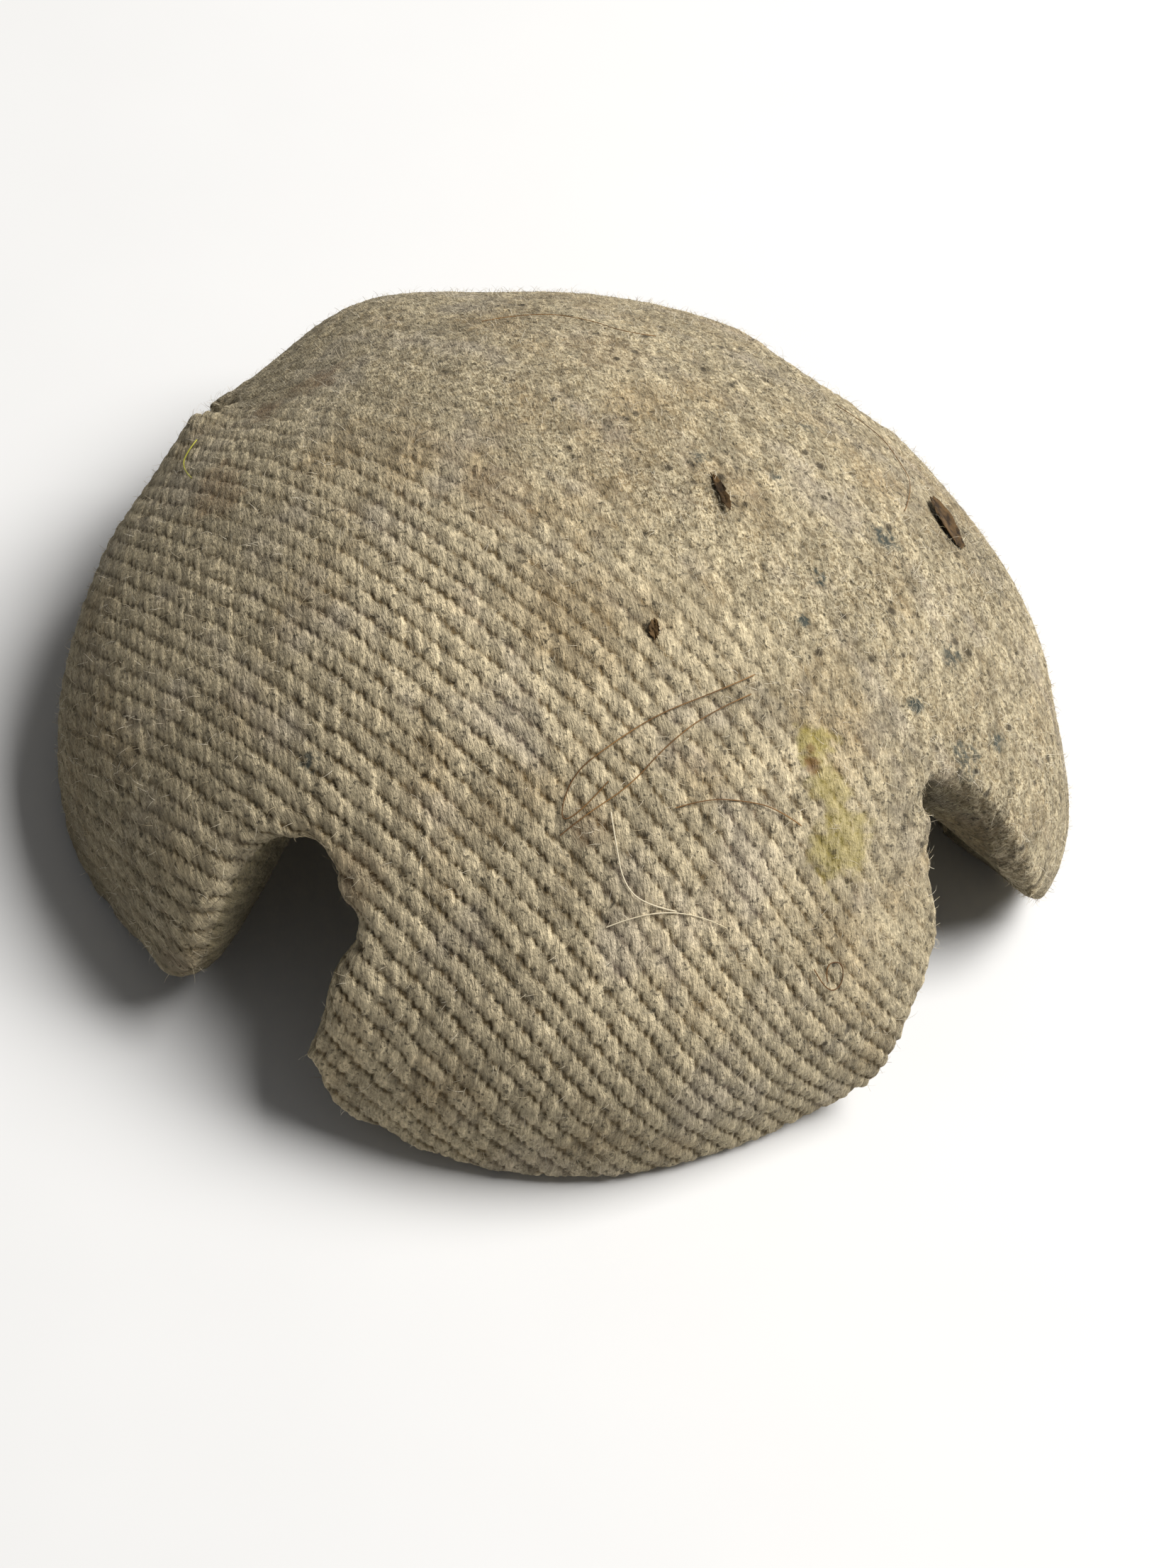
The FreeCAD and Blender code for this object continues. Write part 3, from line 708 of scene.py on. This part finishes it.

# %% [markdown]
# ## Materials
#
# The cloth is undyed cotton gone grey-beige. A flat colour would look like plastic, so the
# colour is built up: pale where a float stands up and brown in the valleys, a painted light and
# shade that follows the relief, with dirt in the valleys too, each float a little different, and
# the fibres along the yarn different again. Three small helpers keep the node trees readable.

# %% Helpers for node trees
class Tree:
    """A material's node tree, with one method for each kind of step that is used here."""

    def __init__(self, label):
        self.material = bpy.data.materials.new(label)
        self.material.use_nodes = True
        self.nodes = self.material.node_tree.nodes
        self.links = self.material.node_tree.links
        self.shader = self.nodes["Principled BSDF"]

    def put(self, socket, value):
        if isinstance(value, bpy.types.NodeSocket):
            self.links.new(value, socket)
        else:
            socket.default_value = value

    def math(self, operation, first, second=0.5, clamp=False):
        node = self.nodes.new("ShaderNodeMath")
        node.operation = operation
        node.use_clamp = clamp
        self.put(node.inputs[0], first)
        self.put(node.inputs[1], second)
        return node.outputs[0]

    def span(self, value, low, high, to_low=0.0, to_high=1.0):
        node = self.nodes.new("ShaderNodeMapRange")
        node.interpolation_type = "SMOOTHSTEP"
        for socket, each in zip(node.inputs, (value, low, high, to_low, to_high)):
            self.put(socket, each)
        return node.outputs[0]

    def mix(self, share, first, second, blend="MIX"):
        node = self.nodes.new("ShaderNodeMix")
        node.data_type = "RGBA"
        node.blend_type = blend
        self.put(node.inputs[0], share)
        self.put(node.inputs[6], first)
        self.put(node.inputs[7], second)
        return node.outputs[2]

    def attribute(self, label):
        node = self.nodes.new("ShaderNodeAttribute")
        node.attribute_name = label
        return node

    def noise(self, coordinates, scale, detail=2.0, roughness=0.5, stretch=(1, 1, 1)):
        mapping = self.nodes.new("ShaderNodeMapping")
        mapping.inputs["Scale"].default_value = stretch
        self.put(mapping.inputs["Vector"], coordinates)
        node = self.nodes.new("ShaderNodeTexNoise")
        node.inputs["Scale"].default_value = scale
        node.inputs["Detail"].default_value = detail
        node.inputs["Roughness"].default_value = roughness
        self.links.new(mapping.outputs[0], node.inputs["Vector"])
        return node.outputs["Fac"]

    def bump(self, height, distance, strength=1.0):
        node = self.nodes.new("ShaderNodeBump")
        node.inputs["Strength"].default_value = strength
        node.inputs["Distance"].default_value = distance
        self.links.new(height, node.inputs["Height"])
        self.links.new(node.outputs[0], self.shader.inputs["Normal"])


def paint(red, green, blue):
    """A colour from its everyday screen values, 0 to 255."""
    return tuple(((each / 255 + 0.055) / 1.055) ** 2.4 for each in (red, green, blue)) + (1.0,)


# %% [markdown]
# The same recipe dresses the crown cover, the facings and the hems. The facings and hems
# get darker colours, a painted shade for the notch walls and the feet. It reads the
# attributes that the relief left: height, float tone and wear.

# %% Worn twill
def worn_twill(label, valley_dirt_and_shade, top, felt, dirt):
    tree = Tree(label)
    place_node = tree.nodes.new("ShaderNodeTexCoord")
    solid = place_node.outputs["Object"]
    yarn = tree.nodes.new("ShaderNodeUVMap")
    yarn.uv_map = "yarn"
    relief = tree.attribute("relief").outputs["Fac"]
    tone = tree.attribute("tone").outputs["Fac"]
    nap = tree.attribute("nap").outputs["Fac"]
    # Paler where a float stands up and darker in the valleys: painted light and shade along the
    # relief, with dirt in the valleys too.
    lift = tree.span(relief, 0.02, 0.72)
    woven_lit_and_shaded = tree.mix(lift, valley_dirt_and_shade, top)
    fibre = tree.noise(yarn.outputs["UV"], 1.0, 3.0, 0.65, (4.2, 0.95, 1.0))
    grain = tree.noise(solid, 2400.0, 3.0, 0.7)
    tuft = tree.noise(solid, 820.0, 2.0, 0.6)
    felted = tree.mix(tree.span(grain, 0.41, 0.53), dirt, felt)
    # In the felt, too, the low places take the valley colour: painted shade and dirt.
    felted = tree.mix(tree.span(relief, 0.35, 0.85, 0.35, 1.0), valley_dirt_and_shade, felted)
    cloth = tree.mix(nap, woven_lit_and_shaded, felted)
    shade = tree.math("MULTIPLY", tree.span(tone, 0.0, 1.0, 0.80, 1.16),
                      tree.span(fibre, 0.30, 0.70, 0.66, 1.26))
    shade = tree.math("MULTIPLY", shade, tree.span(tuft, 0.32, 0.68, 0.76, 1.18))
    soil = tree.noise(solid, 48.0, 5.0, 0.62)
    shade = tree.math("MULTIPLY", shade, tree.span(soil, 0.30, 0.70, 0.80, 1.10))
    speck = tree.noise(solid, 1700.0, 2.0, 0.6)
    shade = tree.math("MULTIPLY", shade, tree.span(speck, 0.30, 0.44, 0.32, 1.0))
    warm = tree.noise(solid, 70.0, 3.0, 0.6)
    cloth = tree.mix(tree.span(warm, 0.48, 0.70, 0.0, 0.40), cloth, paint(150, 124, 84))
    cool = tree.noise(solid, 95.0, 3.0, 0.6, (1.0, 1.3, 0.8))
    cloth = tree.mix(tree.span(cool, 0.50, 0.72, 0.0, 0.20), cloth, paint(176, 170, 172))
    shaded = tree.nodes.new("ShaderNodeVectorMath")
    shaded.operation = "SCALE"
    tree.links.new(cloth, shaded.inputs[0])
    tree.links.new(shade, shaded.inputs["Scale"])
    colour = shaded.outputs[0]
    stains = {
        "marks": (("X", paint(160, 146, 62), 0.72), ("Y", paint(108, 72, 36), 0.9),
                  ("Z", paint(112, 78, 44), 0.8)),
        # The third part of this attribute is the painted shade towards the left, the feet and the
        # notch walls.
        "smudges_specks_and_painted_shade": (("X", paint(54, 64, 62), 0.95), ("Y", paint(46, 38, 28), 0.9),
                    ("Z", paint(80, 73, 52), 0.5)),
    }
    for attribute_name, parts in stains.items():
        split = tree.nodes.new("ShaderNodeSeparateXYZ")
        tree.links.new(tree.attribute(attribute_name).outputs["Vector"], split.inputs[0])
        for axis, stain, most in parts:
            share = tree.math("MULTIPLY", split.outputs[axis], most, clamp=True)
            share = tree.math("MULTIPLY", share, tree.span(tuft, 0.2, 0.6, 0.6, 1.0))
            colour = tree.mix(share, colour, stain)
    tree.links.new(colour, tree.shader.inputs["Base Color"])
    tree.shader.inputs["Roughness"].default_value = 0.92
    tree.shader.inputs["Specular IOR Level"].default_value = 0.12
    tree.shader.inputs["Sheen Weight"].default_value = 0.22
    tree.shader.inputs["Sheen Roughness"].default_value = 0.6
    tree.shader.inputs["Sheen Tint"].default_value = paint(235, 226, 205)
    fine = tree.math("ADD", tree.math("MULTIPLY", fibre, 0.8), tree.math("MULTIPLY", grain, 0.6))
    fine = tree.math("ADD", fine, tree.math("MULTIPLY", tuft, 0.6))
    tree.bump(fine, 0.42 * MM, 1.0)
    return tree


# The valleys take the first colour, which is dirt and painted shade together.
cover = worn_twill("cover_twill", paint(106, 89, 60), paint(200, 185, 153),
                   paint(204, 190, 158), paint(110, 94, 64))
form.data.materials.clear()
form.data.materials.append(cover.material)
# The facings and the hems are darker copies of the cover: painted shade for the notch walls and
# for the feet.
facing = worn_twill("facing_cloth", paint(92, 80, 54), paint(172, 158, 124),
                    paint(160, 150, 120), paint(100, 90, 66))
hem_cloth = worn_twill("hem_cloth", paint(96, 82, 56), paint(176, 160, 126),
                       paint(170, 156, 124), paint(104, 90, 64))
for label, panel in panels.items():
    if label.startswith(("facing", "hem")):
        panel.data.materials.clear()
        panel.data.materials.append((facing if label.startswith("facing") else hem_cloth).material)

# %% [markdown]
# The lining is a plain canvas: one over, one under, in both directions. Two bands of waves
# at right angles make the yarns, and each yarn stands up where the other is down.

# %% Canvas lining and thread
def plain_canvas(label, low, high, yarns_per_metre):
    tree = Tree(label)
    solid = tree.nodes.new("ShaderNodeTexCoord").outputs["Object"]
    split = tree.nodes.new("ShaderNodeSeparateXYZ")
    tree.links.new(solid, split.inputs[0])
    step = math.pi * yarns_per_metre
    warp = tree.math("SINE", tree.math("MULTIPLY", split.outputs["X"], step))
    weft = tree.math("SINE", tree.math("MULTIPLY", split.outputs["Y"], step))
    weave = tree.math("MULTIPLY", warp, weft)
    crossing = tree.math("ABSOLUTE", weave)
    soil = tree.noise(solid, 60.0, 4.0, 0.6)
    fluff = tree.noise(solid, 1500.0, 3.0, 0.7)
    cloth = tree.mix(tree.span(crossing, 0.0, 0.7), low, high)
    cloth = tree.mix(tree.span(soil, 0.3, 0.7, 0.45, 0.0), cloth, low)
    cloth = tree.mix(tree.span(fluff, 0.35, 0.7, 0.25, 0.0), cloth, low)
    tree.links.new(cloth, tree.shader.inputs["Base Color"])
    tree.shader.inputs["Roughness"].default_value = 0.95
    tree.shader.inputs["Specular IOR Level"].default_value = 0.1
    tree.shader.inputs["Sheen Weight"].default_value = 0.15
    tree.bump(tree.math("ADD", crossing, tree.math("MULTIPLY", fluff, 0.6)), 0.25 * MM, 0.8)
    return tree


lining_cloth = plain_canvas("lining_cloth", paint(92, 82, 60), paint(150, 138, 108), 900.0)
lining.data.materials.clear()
lining.data.materials.append(lining_cloth.material)

thread = Tree("thread")
thread_place = thread.nodes.new("ShaderNodeTexCoord").outputs["Object"]
twist = thread.noise(thread_place, 2600.0, 2.0, 0.6)
wear = thread.noise(thread_place, 90.0, 3.0, 0.6)
ply = thread.mix(thread.span(twist, 0.35, 0.65), paint(140, 126, 96), paint(196, 182, 150))
ply = thread.mix(thread.span(wear, 0.35, 0.7, 0.5, 0.0), ply, paint(110, 96, 70))
thread.links.new(ply, thread.shader.inputs["Base Color"])
thread.shader.inputs["Roughness"].default_value = 0.7
thread.shader.inputs["Specular IOR Level"].default_value = 0.25
thread.bump(twist, 0.12 * MM, 0.8)

# %% [markdown]
# ## Whip stitches
#
# Inside the hollow, short slanted stitches close the joint between the lining and each strip.
# The frame has them as plain solids. The soft skin has moved by a millimetre or so, so each
# stitch is copied, set down on the skin again, bent round its edge where it sticks out, and
# softened into a round thread.

# %% Set the stitches on the soft skin
from mathutils.bvhtree import BVHTree


def surface_tree(pieces):
    corners, faces = [], []
    for piece in pieces:
        base = len(corners)
        mesh = piece.data
        corners += [vertex.co.copy() for vertex in mesh.vertices]
        faces += [[base + index for index in face.vertices] for face in mesh.polygons]
    return BVHTree.FromPolygons(corners, faces)


def loose_parts(piece):
    activate(piece)
    bpy.ops.object.mode_set(mode="EDIT")
    bpy.ops.mesh.select_all(action="SELECT")
    bpy.ops.mesh.separate(type="LOOSE")
    bpy.ops.object.mode_set(mode="OBJECT")
    return list(bpy.context.selected_objects)


inner = surface_tree([lining] + [panels[k] for k in panels if k.startswith(("facing", "hem"))])
PROUD, MOST_PROUD = 0.15, 0.40


def hug(spot):
    """Pull a point of a stitch down to the skin, where it stands too proud of it."""
    hit, normal, index, distance = inner.find_nearest(Vector(spot * MM))
    lift = (Vector(spot * MM) - hit).dot(normal) / MM
    return np.array(hit) / MM + np.array(normal) * MOST_PROUD if lift > MOST_PROUD else spot


def seat_stitches(node, label):
    parts = loose_parts(copy_nodes([node], label))
    for part in parts:
        stitch = part.data
        spots = read_points(stitch)
        centre = Vector(spots.mean(axis=0) * MM)
        place_hit, normal, index, distance = inner.find_nearest(centre)
        shift = (place_hit + normal * PROUD * MM - centre) / MM
        write_points(stitch, np.array([hug(spot) for spot in spots + np.array(shift)]))
    deselect_all()
    for part in parts:
        part.select_set(True)
    bpy.context.view_layer.objects.active = parts[0]
    if len(parts) > 1:
        bpy.ops.object.join()
    sewn = bpy.context.view_layer.objects.active
    sewn.name = sewn.data.name = label
    apply_modifier(sewn, "SUBSURF", levels=2, render_levels=2)
    sewn.data.shade_smooth()
    sewn.data.materials.clear()
    sewn.data.materials.append(thread.material)
    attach(sewn, "root")
    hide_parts(node)
    return sewn


for place_name in NOTCHES:
    seat_stitches("facing_stitches_" + place_name, "facing_thread_" + place_name)
for place_name in LOBES:
    seat_stitches("hem_stitches_" + place_name, "hem_thread_" + place_name)
print("stitches seated")

# %% [markdown]
# ## What clings to the cloth
#
# Loose ends of fibre stand up all over worn cotton, and they are what makes its outline
# soft. Each is a narrow ribbon of three faces that leaves the cloth at a slant and curls.
# Thousands of them are needed, so they are worked out together. They stand thickest where
# the cloth is worn to a nap, and a few dark ones lie in tangles on the far shoulder.

# %% Loose fibres
FIBRE_SEED, FIBRE_WIDTH = 19, 0.045
PALE_FIBRES, LINT_FIBRES = 11000, 420
LINT_PLACES = [(47, -2, 30), (-9, 39, 37), (11, 36, 39), (1, 38, 38), (31, 37, 29)]

cover_points, cover_normals = read_points(form.data), read_normals(form.data)
cover_nap = np.empty(len(form.data.vertices), np.float32)
form.data.attributes["nap"].data.foreach_get("value", cover_nap)


def fibre_ribbons(label, roots, normals, length, slant, chance, material):
    count = len(roots)
    aside = np.cross(normals, chance.normal(size=(count, 3)))
    aside /= np.linalg.norm(aside, axis=1, keepdims=True)
    width = np.cross(normals, aside) * FIBRE_WIDTH
    curl = np.cross(normals, aside) * chance.uniform(-0.5, 0.5, (count, 1))
    rows = []
    for part in (0.0, 0.34, 0.67, 1.0):
        up = slant * math.sin(part * 1.9)
        spot = roots + length[:, None] * (aside * part + curl * part ** 2 + normals * up)
        thin = 1.0 - 0.6 * part
        rows += [spot - width * thin / 2, spot + width * thin / 2]
    corners = np.stack(rows, 1).reshape(-1, 3) * MM
    first = np.arange(count)[:, None] * 8
    steps = np.array([[0, 1, 3, 2], [2, 3, 5, 4], [4, 5, 7, 6]])
    faces = (first[:, :, None] + steps[None]).reshape(-1, 4)
    mesh = bpy.data.meshes.new(label)
    mesh.from_pydata(corners.tolist(), [], faces.tolist())
    mesh.shade_smooth()
    piece = bpy.data.objects.new(label, mesh)
    bpy.context.scene.collection.objects.link(piece)
    mesh.materials.append(material)
    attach(piece, "root")
    return piece


def litter_material(label, dark, light, scale, roughness=0.8):
    tree = Tree(label)
    where = tree.nodes.new("ShaderNodeTexCoord").outputs["Object"]
    streak = tree.noise(where, scale, 3.0, 0.6)
    tree.links.new(tree.mix(tree.span(streak, 0.35, 0.65), dark, light),
                   tree.shader.inputs["Base Color"])
    tree.shader.inputs["Roughness"].default_value = roughness
    tree.shader.inputs["Specular IOR Level"].default_value = 0.2
    tree.bump(streak, 0.05 * MM, 0.6)
    return tree.material


chance = np.random.default_rng(FIBRE_SEED)
weight = (0.35 + cover_nap) * (cover_points[:, 2] > 3)
picked = chance.choice(len(cover_points), PALE_FIBRES, replace=False, p=weight / weight.sum())
fibre_ribbons("loose_fibres", cover_points[picked], cover_normals[picked],
              chance.uniform(0.5, 1.7, PALE_FIBRES), 0.42, chance,
              litter_material("fibre_ends", paint(176, 160, 128), paint(228, 218, 196), 400.0))
near_lint = np.min([np.linalg.norm(cover_points - np.array(spot), axis=1)
                    / (2.0 + 1.5 * number) for number, spot in enumerate(LINT_PLACES)], axis=0)
lint_points = np.nonzero(near_lint < 1)[0]
picked = chance.choice(lint_points, LINT_FIBRES, replace=False)
fibre_ribbons("dark_lint", cover_points[picked], cover_normals[picked],
              chance.uniform(0.8, 2.4, LINT_FIBRES), 0.22, chance,
              litter_material("lint", paint(58, 56, 54), paint(96, 92, 84), 500.0))
print("fibres:", PALE_FIBRES, "pale and", LINT_FIBRES, "dark")

# %% [markdown]
# Long hairs and bits of grass lie across the ribs. A hair is a thin smooth curve: a few
# places along it are given as seen from above, each is set down on the cloth, and a NURBS
# spline runs past them. It is turned into a mesh, so that it is an ordinary piece.

# %% Hairs and grass
HAIRS = [
    # name, half thickness, ((x, y), ...) seen from above, all in millimetres
    ("hair_long", 0.075, ((26, -6), (24, -11), (21, -17), (19, -23), (17.5, -28), (19, -32.5),
                         (20.5, -30), (21, -26))),
    ("hair_second", 0.07, ((27, -8), (25, -13), (23.5, -19), (23, -25), (21, -30), (20, -33))),
    ("hair_pale", 0.08, ((23, -28), (25, -30), (28, -32), (31, -32), (34, -30))),
    ("hair_side", 0.07, ((28, -23), (30, -20), (33, -17), (36, -15), (39, -14))),
    ("hair_low", 0.07, ((29, -36), (31, -33), (34, -30), (37, -28), (39, -27))),
    ("curl", 0.07, ((48, -22), (50, -22), (51, -20), (49.5, -19), (48.5, -20.5), (49.5, -21.5))),
    ("grass_thread", 0.09, ((-50, -8), (-49, -11), (-47, -14), (-44, -16))),
    ("hair_back", 0.05, ((-30, 20), (-26, 25), (-20, 28), (-15, 27), (-12, 30))),
    ("hair_far", 0.05, ((8, 40), (13, 42), (18, 40), (22, 36), (24, 30))),
]

cover_tree = surface_tree([form])
hair_look = litter_material("hair", paint(92, 64, 36), paint(146, 110, 66), 120.0, 0.5)
pale_look = litter_material("pale_hair", paint(196, 180, 144), paint(226, 214, 186), 120.0, 0.5)
grass_look = litter_material("dry_grass", paint(140, 138, 50), paint(184, 178, 84), 200.0, 0.6)
looks = {"hair_pale": pale_look, "hair_low": pale_look, "grass_thread": grass_look}


def on_cloth(x, y, lift):
    start = Vector((x, y, 80)) * MM
    spot, normal, index, distance = cover_tree.ray_cast(start, Vector((0, 0, -1)))
    return spot + normal * lift * MM


for label, half, places in HAIRS:
    curve = bpy.data.curves.new(label, "CURVE")
    curve.dimensions = "3D"
    curve.bevel_depth = half * MM
    curve.bevel_resolution = 1
    curve.resolution_u = 6
    spline = curve.splines.new("NURBS")
    spline.points.add(len(places) - 1)
    for number, (point, (x, y)) in enumerate(zip(spline.points, places)):
        lift = half + 0.15 + 0.35 * (number % 2)
        point.co = (*on_cloth(x, y, lift), 1)
    spline.order_u = 3
    spline.use_endpoint_u = True
    hair = bpy.data.objects.new(label, curve)
    bpy.context.scene.collection.objects.link(hair)
    activate(hair)
    bpy.ops.object.convert(target="MESH")
    hair = bpy.context.view_layer.objects.active
    hair.name = hair.data.name = label
    hair.data.materials.clear()
    hair.data.materials.append(looks.get(label, hair_look))
    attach(hair, "root")
print("hairs:", len(HAIRS))

# %% [markdown]
# Three flakes of bark stick to the worn side. Each starts as a small grid, which is torn into
# a ragged, slightly dished outline, given a thickness, and laid on the cloth by its normal.

# %% Bark flakes
FLAKES = [
    # name, place from above, long direction from above, length and width in millimetres
    ("bark_long", (10, 10), (0.79, -0.61), 5.6, 1.2),
    ("bark_wide", (27, 36), (0.95, -0.30), 7.2, 4.0),
    ("bark_small", (15, -10), (0.6, -0.8), 2.0, 1.1),
]
bark_look = litter_material("bark", paint(44, 33, 20), paint(98, 76, 48), 700.0)


def lay_flake(label, spot, way, length, width, chance):
    bpy.ops.mesh.primitive_grid_add(x_subdivisions=14, y_subdivisions=6, size=1)
    flake = bpy.context.active_object
    flake.name = flake.data.name = label
    shape = read_points(flake.data) * MM
    rough = chance.uniform(-1, 1, (len(shape), 3))
    taper = 1 - 0.55 * np.abs(2 * shape[:, 0]) ** 2
    shape[:, 1] = shape[:, 1] * taper * width + rough[:, 1] * 0.22
    shape[:, 0] = shape[:, 0] * length + rough[:, 0] * 0.45 + rough[:, 1] * 0.3
    shape[:, 2] = 0.5 * (2 * shape[:, 1] / width) ** 2 * 0.5 + rough[:, 2] * 0.06
    origin = on_cloth(*spot, 0.25)
    normal = cover_tree.find_nearest(origin)[1]
    along = Vector((way[0], way[1], 0))
    along = (along - normal * along.dot(normal)).normalized()
    beside = normal.cross(along)
    frame_of_flake = np.array([along, beside, normal])
    write_points(flake.data, shape @ frame_of_flake + np.array(origin) / MM)
    apply_modifier(flake, "SOLIDIFY", thickness=0.2 * MM, offset=1.0)
    apply_modifier(flake, "SUBSURF", levels=1, render_levels=1)
    flake.data.materials.clear()
    flake.data.materials.append(bark_look)
    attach(flake, "root")


deselect_all()
for label, spot, way, length, width in FLAKES:
    lay_flake(label, spot, way, length, width, chance)
print("flakes:", len(FLAKES))

# %% [markdown]
# ## Floor and light
#
# The dome stands on a plain white table in soft light. One large lamp stands high behind it
# to the right, so the near side and the left lobe fall into their own shade, and the white
# surroundings fill in the rest.

# %% Floor and lamp
SURROUNDINGS = 0.12
KEY_PLACE, KEY_SIZE, KEY_POWER = (0.50, 0.52, 1.06), 0.75, 25
KEY_TINT = (1.0, 0.985, 0.96)
bpy.ops.mesh.primitive_plane_add(size=4)
floor = bpy.context.active_object
floor.name = "floor"
floor_paint = Tree("floor_paint")
grain = floor_paint.noise(floor_paint.nodes.new("ShaderNodeTexCoord").outputs["Object"], 40.0)
floor_paint.links.new(floor_paint.mix(grain, (0.77, 0.77, 0.77, 1), (0.80, 0.80, 0.80, 1)),
                      floor_paint.shader.inputs["Base Color"])
floor_paint.shader.inputs["Roughness"].default_value = 0.9
floor.data.materials.append(floor_paint.material)
# The default view would grey a white table, so the plain one is used.
bpy.context.scene.view_settings.view_transform = "Standard"
world = bpy.data.worlds.new("studio")
bpy.context.scene.world = world
world.use_nodes = True
world.node_tree.nodes["Background"].inputs["Color"].default_value = (1, 1, 1, 1)
world.node_tree.nodes["Background"].inputs["Strength"].default_value = SURROUNDINGS


def lamp(label, where, size, power, tint):
    data = bpy.data.lights.new(label, "AREA")
    data.size = size
    data.energy = power
    data.color = tint
    light = bpy.data.objects.new(label, data)
    light.matrix_world = (Matrix.Translation(where)
                          @ Vector(where).to_track_quat("Z", "Y").to_matrix().to_4x4())
    bpy.context.scene.collection.objects.link(light)


lamp("key", KEY_PLACE, KEY_SIZE, KEY_POWER, KEY_TINT)
print("stage set")
